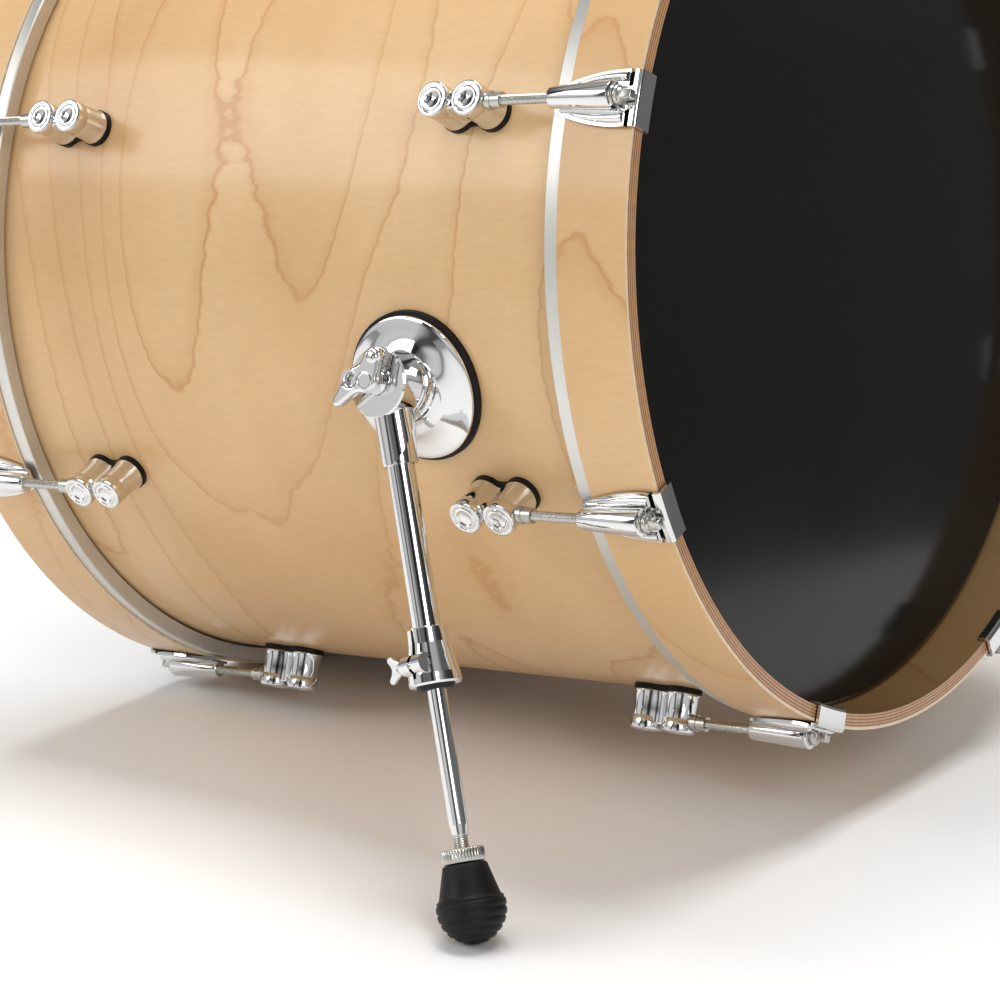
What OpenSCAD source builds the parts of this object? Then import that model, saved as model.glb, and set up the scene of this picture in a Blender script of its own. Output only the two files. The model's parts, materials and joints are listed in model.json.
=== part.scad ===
// Bass drum standing on its batter hoop and two folding spurs.
// Millimetres. The row frame has +Z up from the floor, +X towards the front head and
// +Y across the drum. Each part is drawn in a drum frame, whose origin is the middle of
// the shell's axis with +X along that axis, and stand() sets it on the floor.

/* [Shell] */
// Outside diameter of the shell (22 inch)
shell_d = 558.8; // [550:0.1:570]
// Depth of the shell (18 inch)
shell_depth = 457.2; // [400:0.1:500]
// Wall of the shell
shell_wall = 7; // [5:0.5:10]
// Angle that the front of the drum is raised by
tilt = 5.3; // [3:0.1:8]

/* [Hoops and heads] */
// Outside diameter of the wooden hoops
hoop_d = 585; // [580:1:592]
// Wall of the wooden hoops
hoop_wall = 9.5; // [8:0.5:11]
// Width of the wooden hoops along the drum
hoop_width = 44.5; // [38:0.5:50]
// Width of the metal flesh hoops along the drum
flesh_width = 9.5; // [8:0.5:11]
// Outside diameter of the metal flesh hoops
flesh_d = 582; // [578:1:583]
// Height of the bearing edge above the flesh hoop
collar_height = 7; // [5:0.5:10]
// Thickness of a head's film
head_film = 0.6; // [0.4:0.1:1]

/* [Lugs and tuning] */
// Lugs around each end of the shell
lugs = 8; // [8]
// Distance from the shell's edge to the middle of a lug
lug_inset = 76.5; // [70:0.5:85]
// Height of the tension rods' axis above the shell
rod_height = 20.6; // [19.6:0.1:21]
// Diameter of a tension rod
rod_d = 6; // [5.5:0.1:6.4]
// Diameter of a lug's two posts
post_d = 20.5; // [18:0.5:22]
// Distance between a lug's two posts
post_pitch = 23.5; // [22:0.5:26]
// Height of a lug above its gasket
lug_height = 25; // [23:0.5:28]
// Thickness of the rubber gaskets
gasket_t = 3; // [2:0.5:4]

/* [Spurs] */
// Distance of a spur forward of the shell's middle
spur_x = 108; // [90:1:120]
// Angle of a spur round the shell, from the bottom
spur_around = 80.9; // [70:0.1:90]
// Angle that a spur's swivel axis points above the horizontal
spur_splay = 12.7; // [8:0.1:18]
// Angle that a spur's leg leans forward by
spur_lean = 15.6; // [8:0.1:22]
// Diameter of a spur's base
spur_base_d = 85; // [80:1:90]
// Height of the leg's axis above the shell, along the swivel axis
leg_height = 27; // [25:0.5:30]
// Diameter of the outer leg tube
tube_d = 15.9; // [15:0.1:17]
// Diameter of the inner leg rod
leg_rod_d = 11; // [10:0.1:12]
// Largest diameter of a rubber foot
foot_d = 39; // [36:1:42]

/* [Hidden] */
$fn = 96;
round_fn = 360;
run_gap = 0.05;         // radial clearance of a turning or sliding fit
part_gap = 0.3;         // room between pieces that move past each other

shell_r = shell_d / 2;
shell_in = shell_r - shell_wall;
half_shell = shell_depth / 2;
hoop_r = hoop_d / 2;
hoop_in = hoop_r - hoop_wall;
flesh_front = half_shell - collar_height;
flesh_back = flesh_front - flesh_width;
flesh_in = shell_r + 1.8;
rim_x = flesh_front + hoop_width;
axis_height = rim_x * sin(tilt) + hoop_r * cos(tilt);

vent_angle = -135;
vent_bore = 12.7;
vent_barrel = 16;

lug_x = half_shell - lug_inset;
rod_r = shell_r + rod_height;
lug_step = 360 / lugs;
lug_angles = [for (k = [0:lugs - 1]) lug_step * (k + 0.5)];
screw_d = 5;
receiver_d = 9;
receiver_out = 9.5;     // length of the receiver that shows beyond its post
receiver_end = post_pitch / 2 + post_d / 2 + receiver_out;
rod_in = 8;             // where the rod ends inside the lug, from the lug's middle

pad_t = 1;
claw_wall = 2;
claw_length = 50;
claw_width = 31.5;
nose_width = 12;
claw_in = hoop_r + pad_t;
claw_out = claw_in + claw_wall;
tube_front = rim_x - 9; // front end of a claw's rod tube
tube_back_d = 12;
tube_front_d = 16;
hook_front = rim_x + pad_t + 2.4;
washer_t = 1.2;
washer_od = 11.6;
key_square = 5.5;
key_length = 8;
collar_d = 10.6;
collar_t = 2.4;

pivot_d = 8;            // shaft of the spur's wing screw
hub_top = 20;
knuckle_d = 40;
knuckle_top = 37;
socket_end = 47.4;
tube_start = 21.5;
tube_end = 169;
tube_in_d = leg_rod_d + 1.4;
lever_z = 41;           // underside of the wing screw's lever
lever_t = 7;
clamp_top = 139.3;
clamp_height = 32.2;
clamp_end = 174;
clamp_turn = 100;       // where the clamp's slot is round the leg
clamp_screw_d = 5;
clamp_screw_out = 12.4; // from the leg's axis to the clamp screw's axis
bushing_d = 14.2;
rod_top = 90;
rod_taper = 249;        // where the inner rod narrows to its stud
rod_end = 254.8;
nut_t = 8.2;
nut_d = 24;
stud_d = 8.7;
foot_r = foot_d / 2;
// how far along the leg the centre of the foot's round end is, so that it just meets the floor
pivot_point = [spur_x, shell_r * sin(spur_around) + leg_height * cos(spur_splay),
               -shell_r * cos(spur_around) + leg_height * sin(spur_splay)];
pivot_floor = pivot_point[0] * sin(tilt) + pivot_point[2] * cos(tilt) + axis_height;
leg_down = cos(spur_lean) * cos(spur_splay) * cos(tilt) - sin(spur_lean) * sin(tilt);
foot_at = (pivot_floor - foot_r) / leg_down;
foot_top = foot_at - 24.2;
nut_at = foot_top - part_gap - nut_t;

ENDS = ["front", "batter"];
SIDES = ["right", "left"];
SPUR_PARTS = ["gasket", "base", "leg_socket", "wing_screw", "outer_tube", "clamp", "clamp_screw",
              "bushing", "inner_rod", "lock_nut", "rubber_foot"];

// ---- placing ----

// Stands the drum frame on the floor with its front raised.
module stand() translate([0, 0, axis_height]) rotate([0, -tilt, 0]) children();

// Turns +Z to point out of the shell at an angle from the bottom, towards -Y.
module around(angle) rotate([180 - angle, 0, 0]) children();

// The front end as drawn, or the batter end as its mirror image.
module at_end(end) mirror([end == "batter" ? 1 : 0, 0, 0]) children();

module at_lugs(end) at_end(end) for (a = lug_angles) around(a) children();

module both_lugs() for (end = ENDS) at_lugs(end) children();

module along_x(d, from, to) translate([from, 0, 0]) rotate([0, 90, 0]) cylinder(d = d, h = to - from);

// A ring about the drum's axis with the outline [x, radius].
module ring(outline) rotate([0, 90, 0]) rotate([0, 0, 180])
    rotate_extrude($fn = round_fn) polygon([for (p = outline) [p[1], p[0]]]);

module drum_cylinder(r, length) rotate([0, 90, 0]) cylinder(r = r, h = length, center = true, $fn = round_fn);

// Places a spur's frame: +Z along its swivel axis, which starts on the shell, and -Y down its side.
module at_spur(side) mirror([0, side == "left" ? 1 : 0, 0]) translate([spur_x, 0, 0])
    translate([0, -shell_r * sin(spur_around), -shell_r * cos(spur_around)]) rotate([90 - spur_splay, 0, 0])
    children();

// Places a leg's frame in the spur's frame: +Z down the leg from the swivel axis.
module at_leg() translate([0, 0, leg_height]) rotate([0, 0, spur_lean]) rotate([90, 0, 0]) children();

// Things round the base's own axis, which is square to the shell.
module at_base(side) mirror([0, side == "left" ? 1 : 0, 0]) translate([spur_x, 0, 0])
    around(spur_around) translate([0, 0, shell_r]) children();

// ---- shell and heads ----

module shell() color("BurlyWood") difference() {
    ring([[-half_shell + 2, shell_r], [-half_shell, shell_r - 2], [-half_shell + 5, shell_in],
          [half_shell - 5, shell_in], [half_shell, shell_r - 2], [half_shell - 2, shell_r]]);
    both_lugs() for (side = [-1, 1]) translate([lug_x + side * post_pitch / 2, 0, shell_in - 2])
        cylinder(d = screw_d + 0.3, h = shell_wall + 4);
    around(vent_angle) translate([0, 0, shell_in - 2]) cylinder(d = vent_barrel + 0.1, h = shell_wall + 4);
    for (side = SIDES) at_base(side) spur_screw_places() translate([0, 0, -shell_wall - 2])
        cylinder(d = screw_d + 0.3, h = shell_wall + 4);
}

// Brass eyelet with a flange inside and outside the shell.
module air_vent() color("Goldenrod") around(vent_angle) difference() {
    union() {
        translate([0, 0, shell_in - 3]) cylinder(d = vent_barrel, h = shell_wall + 5);
        difference() {
            translate([0, 0, shell_r - 1]) cylinder(d1 = 22, d2 = 19, h = 2.4);
            rotate([180, 0, 0]) rotate([vent_angle, 0, 0]) drum_cylinder(shell_r, 60);
        }
        intersection() {
            translate([0, 0, shell_in - 1.5]) cylinder(d = 20, h = 3);
            rotate([180, 0, 0]) rotate([vent_angle, 0, 0]) drum_cylinder(shell_in, 60);
        }
    }
    translate([0, 0, shell_in - 4]) cylinder(d = vent_bore, h = shell_wall + 10);
    translate([0, 0, shell_r + 1.4]) cylinder(d = 30, h = 5);
    translate([0, 0, shell_in - 6]) cylinder(d = 30, h = 4.5);
}

// A flat film over the bearing edge, down to the flesh hoop.
module head(end, tint) color(tint) at_end(end) ring([
    [half_shell, 0], [half_shell + head_film, 0], [half_shell + head_film, shell_r - 1.7],
    [half_shell - 1.6, shell_r + 0.9], [flesh_front, shell_r + 2.9], [flesh_front, shell_r + 2.2],
    [half_shell - 2, shell_r + 0.1], [half_shell, shell_r - 2]]);

module flesh_hoop(end) color("Silver") at_end(end) ring([
    [flesh_back, flesh_in], [flesh_front, flesh_in], [flesh_front, flesh_d / 2 - 0.8],
    [flesh_front - 0.8, flesh_d / 2], [flesh_back + 0.8, flesh_d / 2], [flesh_back, flesh_d / 2 - 0.8]]);

module hoop(end) color("Wheat") at_end(end) ring([
    [flesh_front, hoop_in], [rim_x, hoop_in], [rim_x, hoop_r], [flesh_front, hoop_r]]);

// ---- lugs ----

// Two round posts joined by a narrower waist, seen from above.
module lug_plan(grow) {
    for (side = [-1, 1]) translate([side * post_pitch / 2, 0]) circle(d = post_d + 2 * grow);
    difference() {
        square([post_pitch, 17 + 2 * grow], center = true);
        for (side = [-1, 1]) translate([0, side * 20.5]) circle(r = 14 - grow);
    }
}

module lug_gaskets() color("#222222") both_lugs() difference() {
    translate([lug_x, 0, shell_r - 1]) linear_extrude(gasket_t + 1) lug_plan(1);
    drum_cylinder(shell_r, 400);
    for (side = [-1, 1]) translate([lug_x + side * post_pitch / 2, 0, shell_r - 2])
        cylinder(d = screw_d + 0.3, h = gasket_t + 4);
}

// The round top of a post: a rim, a groove, a step and a dished middle.
module post_top() rotate_extrude() polygon([
    [0, -6], [post_d / 2, -6], [post_d / 2, -0.9], [post_d / 2 - 0.9, 0], [8, 0], [7.5, -0.5], [6.9, -0.5],
    [6.5, -0.1], [5, -0.1], [4.6, -0.8], [0, -1.5]]);

module lug_body() difference() {
    union() {
        linear_extrude(lug_height - 2.5) lug_plan(0);
        for (side = [-1, 1]) translate([side * post_pitch / 2, 0, lug_height]) post_top();
    }
    // slot across the waist
    translate([-1.6, -20, lug_height - 9]) cube([3.2, 40, 20]);
    // receiver's hole
    translate([0, 0, rod_height - gasket_t]) along_x(receiver_d + 0.1, 1, 40);
    // screw holes
    for (side = [-1, 1]) translate([side * post_pitch / 2, 0, -1]) cylinder(d = screw_d, h = 11);
}

module lugs(end) color("Silver") at_lugs(end) translate([lug_x, 0, shell_r + gasket_t]) lug_body();

module rod_receivers() color("LightGray") both_lugs() translate([lug_x, 0, rod_r]) difference() {
    union() {
        along_x(receiver_d, 3, receiver_end);
        along_x(receiver_d + 1.2, post_pitch / 2 + post_d / 2 + 0.4, receiver_end - 6.2);
    }
    along_x(rod_d + 2 * run_gap, 2, receiver_end + 1);
}

// Screw and washer that pull one fitting against the shell, from a point on its outer face.
module shell_screw(reach, sink = 0) {
    inside = -shell_wall - sink;
    translate([0, 0, inside - 2]) cylinder(d = screw_d - 0.05, h = reach - inside + 2);
    difference() {
        translate([0, 0, inside - 4.6]) cylinder(d1 = 7.5, d2 = 9.5, h = 3.3);
        translate([0, 0, inside - 5]) cylinder(d = 4.2, h = 1.6, $fn = 6);
    }
    difference() {
        translate([0, 0, inside - 1.25]) cylinder(d = 14, h = 1.1);
        translate([0, 0, inside - 2]) cylinder(d = screw_d, h = 3);
    }
}

module lug_screws() color("DimGray") both_lugs() for (side = [-1, 1])
    translate([lug_x + side * post_pitch / 2, 0, shell_r]) shell_screw(gasket_t + 9);

// ---- tension rods and claws ----

// Half plan of a claw from its nose to the hoop's face, both sides of the rod.
module claw_plan() polygon([
    [rim_x - claw_length, -nose_width / 2], [rim_x - 38, -11.4], [rim_x - 24, -14.4], [rim_x - 10, -claw_width / 2],
    [hook_front + 1, -claw_width / 2], [hook_front + 1, claw_width / 2], [rim_x - 10, claw_width / 2],
    [rim_x - 24, 14.4], [rim_x - 38, 11.4], [rim_x - claw_length, nose_width / 2]]);

module claw_body() difference() {
    union() {
        // plate and hook, bent from one ring section
        intersection() {
            ring([[rim_x - claw_length, claw_in], [rim_x - claw_length, claw_out], [hook_front - 1.5, claw_out],
                  [hook_front, claw_out - 1.5], [hook_front, hoop_in - 2.6], [rim_x - 5, hoop_in - 2.6],
                  [rim_x - 5, hoop_in - pad_t], [rim_x + pad_t, hoop_in - pad_t], [rim_x + pad_t, claw_in]]);
            translate([0, 0, 200]) linear_extrude(200) claw_plan();
        }
        // rod tube and the two ribs beside it
        difference() {
            union() {
                translate([rim_x - claw_length, 0, rod_r]) rotate([0, 90, 0])
                    cylinder(d1 = tube_back_d, d2 = tube_front_d, h = claw_length - 9);
                for (side = [-1, 1]) intersection() {
                    ring([[rim_x - 44, claw_in + 1], [rim_x - 12, claw_in + 4.4], [rim_x - 7, claw_in + 4.4],
                          [rim_x - 5, claw_in + 1]]);
                    translate([rim_x - 45, side * 11 - 1, 200]) cube([42, 2, 200]);
                }
            }
            drum_cylinder(claw_in + 0.5, 700);
        }
    }
    // rod's bore, and room for its washer and collar
    translate([0, 0, rod_r]) along_x(rod_d + 4 * run_gap, rim_x - claw_length - 1, rim_x);
    translate([0, 0, rod_r]) along_x(washer_od + 0.8, tube_front, rim_x - 3.5);
    // slot behind the hook on both sides of the rod
    for (side = [-1, 1]) translate([rim_x - 3.5, side * 11.5 - 5.5, claw_in - 1]) cube([2.2, 11, 8]);
}

module claws(end) color("LightGray") at_lugs(end) claw_body();

module claw_pads() color("#222222") both_lugs() intersection() {
    ring([[rim_x - 16, hoop_r], [rim_x - 16, claw_in], [rim_x + pad_t, claw_in], [rim_x + pad_t, hoop_in - pad_t],
          [rim_x - 5, hoop_in - pad_t], [rim_x - 5, hoop_in], [rim_x, hoop_in], [rim_x, hoop_r]]);
    translate([200, -15, 200]) cube([100, 30, 200]);
}

module rod_washers() color("Silver") both_lugs() translate([0, 0, rod_r]) difference() {
    along_x(washer_od, tube_front, tube_front + washer_t);
    along_x(rod_d + 4 * run_gap, tube_front - 1, tube_front + 3);
}

module tension_rod(end, k) color("Silver") at_end(end) around(lug_angles[k - 1]) translate([0, 0, rod_r]) {
    seat = tube_front + washer_t + 0.05;
    along_x(rod_d, lug_x + rod_in, seat);
    along_x(collar_d, seat, seat + collar_t);
    translate([seat + collar_t, 0, 0]) rotate([0, 90, 0]) cylinder(d1 = 8.6, d2 = 7.4, h = 1.4);
    translate([seat + collar_t, -key_square / 2, -key_square / 2]) cube([key_length, key_square, key_square]);
}

// ---- spurs ----

module spur_screw_places() for (sx = [-1, 1], sy = [-1, 1]) translate([sx * 26, sy * 26, 0]) children();

module spur_screws() color("DimGray") for (side = SIDES) at_base(side) spur_screw_places() shell_screw(1.5, 1.95);

module spur_gasket(side) color("#222222") difference() {
    intersection() {
        at_base(side) translate([0, 0, -8]) cylinder(d = spur_base_d + 4, h = 20);
        drum_cylinder(shell_r + gasket_t, 500);
    }
    drum_cylinder(shell_r, 500);
    at_base(side) spur_screw_places() translate([0, 0, -4]) cylinder(d = screw_d + 0.3, h = 12);
}

// Curved disc with a stepped hub that points along the swivel axis.
module spur_base(side) color("Silver") difference() {
    union() {
        intersection() {
            at_base(side) translate([0, 0, -8]) cylinder(d = spur_base_d, h = 30);
            drum_cylinder(shell_r + gasket_t + 3.4, 500);
        }
        intersection() {
            at_base(side) rotate_extrude() polygon([[0, -8], [40, -8], [40, gasket_t + 1], [38, gasket_t + 4],
                [35, gasket_t + 5.2], [31, gasket_t + 6], [0, gasket_t + 7]]);
            drum_cylinder(shell_r + gasket_t + 9, 500);
        }
        at_spur(side) rotate_extrude() polygon([[0, -4], [27, -4], [27, 9.5], [26, 11], [24, 12], [23.4, 15],
            [22.4, 16], [21, 16.4], [20.6, hub_top - 0.6], [20, hub_top], [0, hub_top]]);
    }
    drum_cylinder(shell_r + gasket_t, 500);
    at_base(side) spur_screw_places() translate([0, 0, -8]) cylinder(d = screw_d - 0.05, h = 12);
    // thread for the wing screw
    at_spur(side) translate([0, 0, 6]) cylinder(d = pivot_d + 2 * run_gap, h = 30);
}

// Round knuckle with a tapered socket that the outer tube is fixed in.
module leg_socket(side) color("LightGray") at_spur(side) difference() {
    union() {
        translate([0, 0, hub_top + run_gap]) rotate_extrude() polygon([[0, 0], [knuckle_d / 2 - 1, 0],
            [knuckle_d / 2, 1], [knuckle_d / 2, knuckle_top - hub_top - 1], [knuckle_d / 2 - 1, knuckle_top - hub_top],
            [0, knuckle_top - hub_top]]);
        intersection() {
            at_leg() cylinder(d1 = 28, d2 = 19.8, h = socket_end);
            at_leg() translate([0, knuckle_top - leg_height - 0.1 - 11.5, 0]) cylinder(r = 11.5, h = socket_end);
            translate([-80, -80, hub_top + run_gap]) cube([160, 160, 40]);
        }
    }
    at_leg() translate([0, 0, tube_start]) cylinder(d = tube_d, h = socket_end);
    translate([0, 0, hub_top - 1]) cylinder(d = pivot_d + 2 * run_gap, h = 40);
    translate([0, 0, knuckle_top - 3]) cylinder(d = 15, h = 10);
}

// Screw with a flat lever that has a hole near its long end.
module wing_screw(side) color("LightGray") at_spur(side) {
    translate([0, 0, 8]) cylinder(d = pivot_d, h = knuckle_top - 2);
    translate([0, 0, knuckle_top - 2.9]) rotate_extrude() polygon([[0, 0], [7.2, 0], [7.2, 3.6], [6, 5], [6, 11],
        [0, 11]]);
    translate([0, 0, lever_z]) difference() {
        linear_extrude(lever_t) polygon([[-22.5, -13.5], [-18.9, -2.6], [-15.5, 4.7], [-11.5, 7.6], [-5.4, 10.9],
            [-1, 17.2], [4.4, 19.6], [9.4, 17], [9.6, 11.5], [7.5, 4.5], [6.4, -3.3], [0, -6.6], [-6.8, -7],
            [-13, -10.9], [-19.5, -14.8]]);
        translate([-11, 1.2, -1]) cylinder(d = 7.2, h = 10);
    }
}

module outer_tube(side) color("LightGray") at_spur(side) at_leg() difference() {
    translate([0, 0, tube_start]) cylinder(d = tube_d, h = tube_end - tube_start);
    translate([0, 0, tube_start + 1]) cylinder(d = tube_in_d, h = clamp_end);
}

// Collar on the tube's end, flared downwards and split so that its screw can close it.
module clamp(side) color("Silver") at_spur(side) at_leg() difference() {
    union() {
        translate([0, 0, clamp_top]) rotate_extrude() polygon([[0, 0], [10.6, 0], [11.4, 0.8], [11.8, 9], [13, 17],
            [14.6, 26], [15, clamp_height - 1.2], [14.2, clamp_height], [0, clamp_height]]);
        at_clamp_screw() cylinder(d = 11, h = 17, center = true);
    }
    translate([0, 0, clamp_top - 1]) cylinder(d = tube_d, h = tube_end - clamp_top + 1);
    translate([0, 0, clamp_top - 1]) cylinder(d = bushing_d, h = 60);
    rotate([0, 0, clamp_turn]) translate([0, -1.2, clamp_top - 1]) cube([24, 2.4, 29]);
    at_clamp_screw() cylinder(d = clamp_screw_d + 2 * run_gap, h = 40, center = true);
    // flat seat round the screw's cone
    at_clamp_screw() translate([0, 0, 8.6]) cylinder(d = 10, h = 12);
}

// Places the clamp's screw across the slot, outside the tube.
module at_clamp_screw() rotate([0, 0, clamp_turn]) translate([clamp_screw_out, 0, clamp_top + 20])
    rotate([-90, 0, 0]) children();

// Black ring that the inner rod slides in.
module bushing(side) color("#222222") at_spur(side) at_leg() difference() {
    union() {
        translate([0, 0, tube_end]) cylinder(d = bushing_d, h = clamp_end - tube_end);
        translate([0, 0, clamp_top + clamp_height]) cylinder(d1 = 22, d2 = 19, h = clamp_end - clamp_top - clamp_height);
    }
    translate([0, 0, tube_end - 1]) cylinder(d = leg_rod_d + 2 * run_gap, h = 20);
}

module clamp_screw(side) color("LightGray") at_spur(side) at_leg() at_clamp_screw() {
        translate([0, 0, -8.2]) cylinder(d = clamp_screw_d, h = 18);
        translate([0, 0, 8.8]) cylinder(d1 = 9, d2 = 7, h = 4);
        translate([-1.4, 0, 12.2]) rotate([0, 90, 0]) linear_extrude(2.8) union() {
            polygon([[0, -3.5], [0, 3.5], [-6, 6.5], [-9, 6], [-7, 0], [-9, -6], [-6, -6.5]]);
            for (way = [-1, 1]) translate([-7, way * 6]) circle(r = 2.4);
        }
    }

module inner_rod(side) color("LightGray") at_spur(side) at_leg() {
    translate([0, 0, rod_top]) cylinder(d = leg_rod_d, h = rod_taper - rod_top);
    translate([0, 0, rod_taper]) cylinder(d1 = leg_rod_d, d2 = stud_d, h = rod_end - rod_taper);
    translate([0, 0, rod_end]) cylinder(d = stud_d, h = foot_at - rod_end - 6);
}

// Turns on the rod's thread and locks the foot.
module lock_nut(side) color("Silver") at_spur(side) at_leg() translate([0, 0, nut_at]) difference() {
    rotate_extrude() polygon([[0, 0], [nut_d / 2 - 0.8, 0], [nut_d / 2, 0.8], [nut_d / 2, nut_t - 0.8],
        [nut_d / 2 - 0.8, nut_t], [0, nut_t]]);
    translate([0, 0, -1]) cylinder(d = stud_d + 2 * run_gap, h = nut_t + 2);
}

// Tapered rubber foot with a round end.
module rubber_foot(side) color("#1c1c1c") at_spur(side) at_leg() translate([0, 0, foot_at]) difference() {
    union() {
        translate([0, 0, foot_top - foot_at]) rotate_extrude() polygon([[0, 0], [11.9, 0], [12.7, 0.8], [13.2, 3],
            [17.4, 19], [18.6, 19.6], [foot_r, 21.4], [foot_r, foot_at - foot_top], [0, foot_at - foot_top]]);
        intersection() {
            sphere(r = foot_r);
            translate([0, 0, 30]) cube(60, center = true);
        }
    }
    translate([0, 0, foot_top - foot_at - 1]) cylinder(d = stud_d + 2 * run_gap, h = foot_at - foot_top - 4);
}

module spur_part(side, part) {
    if (part == "gasket") spur_gasket(side);
    if (part == "base") spur_base(side);
    if (part == "leg_socket") leg_socket(side);
    if (part == "wing_screw") wing_screw(side);
    if (part == "outer_tube") outer_tube(side);
    if (part == "clamp") clamp(side);
    if (part == "clamp_screw") clamp_screw(side);
    if (part == "bushing") bushing(side);
    if (part == "inner_rod") inner_rod(side);
    if (part == "lock_nut") lock_nut(side);
    if (part == "rubber_foot") rubber_foot(side);
}

stand() shell();
stand() air_vent();
stand() lug_gaskets();
stand() lug_screws();
stand() rod_receivers();
stand() claw_pads();
stand() rod_washers();
stand() spur_screws();
stand() head("front", "#1a1a1a");  // front_head
stand() head("batter", "WhiteSmoke");  // batter_head
for (end = ENDS) {
    stand() flesh_hoop(end);
    stand() hoop(end);
    stand() lugs(end);
    stand() claws(end);
    for (k = [1:lugs]) stand() tension_rod(end, k);
}
for (side = SIDES, part = SPUR_PARTS)
    stand() spur_part(side, part);
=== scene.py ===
"""Looks of a bass drum with a natural maple shell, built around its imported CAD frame."""
import json
import math
import bpy
from mathutils import Matrix, Vector

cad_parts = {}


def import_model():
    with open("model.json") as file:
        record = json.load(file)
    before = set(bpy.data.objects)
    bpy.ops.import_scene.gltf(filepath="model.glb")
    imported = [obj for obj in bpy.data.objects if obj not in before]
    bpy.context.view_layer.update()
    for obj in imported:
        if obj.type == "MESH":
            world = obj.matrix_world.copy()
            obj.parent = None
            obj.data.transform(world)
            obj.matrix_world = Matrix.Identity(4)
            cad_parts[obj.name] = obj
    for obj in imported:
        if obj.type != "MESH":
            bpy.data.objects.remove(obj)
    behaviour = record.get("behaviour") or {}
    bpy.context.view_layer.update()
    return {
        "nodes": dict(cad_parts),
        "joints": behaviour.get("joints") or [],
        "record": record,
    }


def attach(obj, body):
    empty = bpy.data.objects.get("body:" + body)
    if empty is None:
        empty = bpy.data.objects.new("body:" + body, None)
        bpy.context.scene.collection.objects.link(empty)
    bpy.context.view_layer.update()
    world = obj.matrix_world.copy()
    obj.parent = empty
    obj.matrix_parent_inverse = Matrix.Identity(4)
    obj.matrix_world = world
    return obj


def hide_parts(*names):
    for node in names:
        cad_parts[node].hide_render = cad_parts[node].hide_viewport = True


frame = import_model()

# ---- what the frame says ----
MOUNTS = {m["name"]: m for m in frame["record"]["mounts"]}
JOINTS = {j["name"]: j for j in frame["joints"]}
FRONT = Vector(MOUNTS["front_face"]["pos_m"])
BATTER = Vector(MOUNTS["batter_face"]["pos_m"])
CENTRE = (FRONT + BATTER) / 2
TILT = math.asin(MOUNTS["front_face"]["axis"][2])
DRUM = Matrix.Translation(CENTRE) @ Matrix.Rotation(-TILT, 4, "Y")
MM = Matrix.Scale(0.001, 4)

# ---- sizes in millimetres, as the CAD has them ----
SHELL_R = 279.4
RIM = 266.1
HOOP_R = 292.5
HOOP_IN = 283.0
ROD_R = 300.0
LUG_X = 152.1
LUGS = 8
POST_R = 10.25
POST_PITCH = 23.5
GASKET = 3.0
LUG_TOP = 28.0
CLAW_IN = 293.5
CLAW_OUT = 295.5
CLAW_LENGTH = 50.0
TUBE_FRONT = 257.1
HOOK_FRONT = 269.5
LEG_HEIGHT = 27.0
KNUCKLE_TOP = 37.0
LEVER_MIDDLE = 44.5
LEVER_THICK = 7.0
SPUR_AROUND = 80.9
SPUR_LEAN = 15.6
SPUR_GASKET_TOP = 282.4
CLAMP_TURN = 100
CLAMP_SCREW_OUT = 12.4
CLAMP_SCREW_DOWN = 159.3
NUT_TEETH = 44
NUT_THICK = 8.2
FOOT_R = 19.5
FOOT_HEIGHT = 24.2
PART_GAP = 0.3
SIDES = ("right", "left")
ENDS = ("front", "batter")


# ---- mesh helpers ----

def build(name, parts, body, material, node, sharp=35, bevel=0.0):
    """One piece from (verts, faces, matrix) parts, riding on a body in place of a CAD node."""
    verts, faces = [], []
    for part_verts, part_faces, matrix in parts:
        first = len(verts)
        flip = matrix.determinant() < 0
        verts += [matrix @ Vector(v) for v in part_verts]
        for f in part_faces:
            ids = [first + i for i in f]
            faces.append(ids[::-1] if flip else ids)
    mesh = bpy.data.meshes.new(name)
    mesh.from_pydata(verts, [], faces)
    mesh.validate()
    mesh.materials.append(material)
    obj = bpy.data.objects.new(name, mesh)
    bpy.context.scene.collection.objects.link(obj)
    smooth(obj, sharp)
    if bevel:
        soften(obj, bevel)
    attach(obj, body)
    if node:
        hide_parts(node)
    return obj


def smooth(obj, sharp=35):
    mesh = obj.data
    mesh.shade_smooth()
    mesh.set_sharp_from_angle(angle=math.radians(sharp))


def soften(obj, width, segments=2, angle=40):
    mod = obj.modifiers.new("edges", "BEVEL")
    mod.width = width / 1000
    mod.segments = segments
    mod.limit_method = "ANGLE"
    mod.angle_limit = math.radians(angle)
    mod.harden_normals = True


def loft(rings, close_start=True, close_end=True):
    """Quads between rings of equal length, with end caps."""
    n = len(rings[0])
    verts = [p for ring in rings for p in ring]
    faces = []
    for i in range(len(rings) - 1):
        for j in range(n):
            k = (j + 1) % n
            faces.append([i * n + j, i * n + k, (i + 1) * n + k, (i + 1) * n + j])
    if close_start:
        faces.append(list(range(n))[::-1])
    if close_end:
        faces.append([(len(rings) - 1) * n + j for j in range(n)])
    return verts, faces


def lathe(profile, segments=64, wave=None):
    """Turns (height, radius) points round +Z; wave(angle, height) adds to the radius."""
    rings = []
    for h, r in profile:
        ring = []
        for j in range(segments):
            a = 2 * math.pi * j / segments
            rr = max(r + (wave(a, h) if wave else 0), 0.001)
            ring.append((rr * math.cos(a), rr * math.sin(a), h))
        rings.append(ring)
    return loft(rings, profile[0][1] > 0.01, profile[-1][1] > 0.01)


def arc(cx, cy, r, a0, a1, n):
    return [(cx + r * math.cos(math.radians(a0 + (a1 - a0) * i / n)),
             cy + r * math.sin(math.radians(a0 + (a1 - a0) * i / n))) for i in range(n + 1)]


def end_matrix(end, angle):
    """Millimetres in a lug's frame, +X to the rim and +Z out of the shell, to the row's metres."""
    side = Matrix.Scale(-1 if end == "batter" else 1, 4, (1, 0, 0))
    return DRUM @ MM @ side @ Matrix.Rotation(math.radians(180 - angle), 4, "X")


def lug_angle(k):
    return 360 / LUGS * (k - 0.5)


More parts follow.
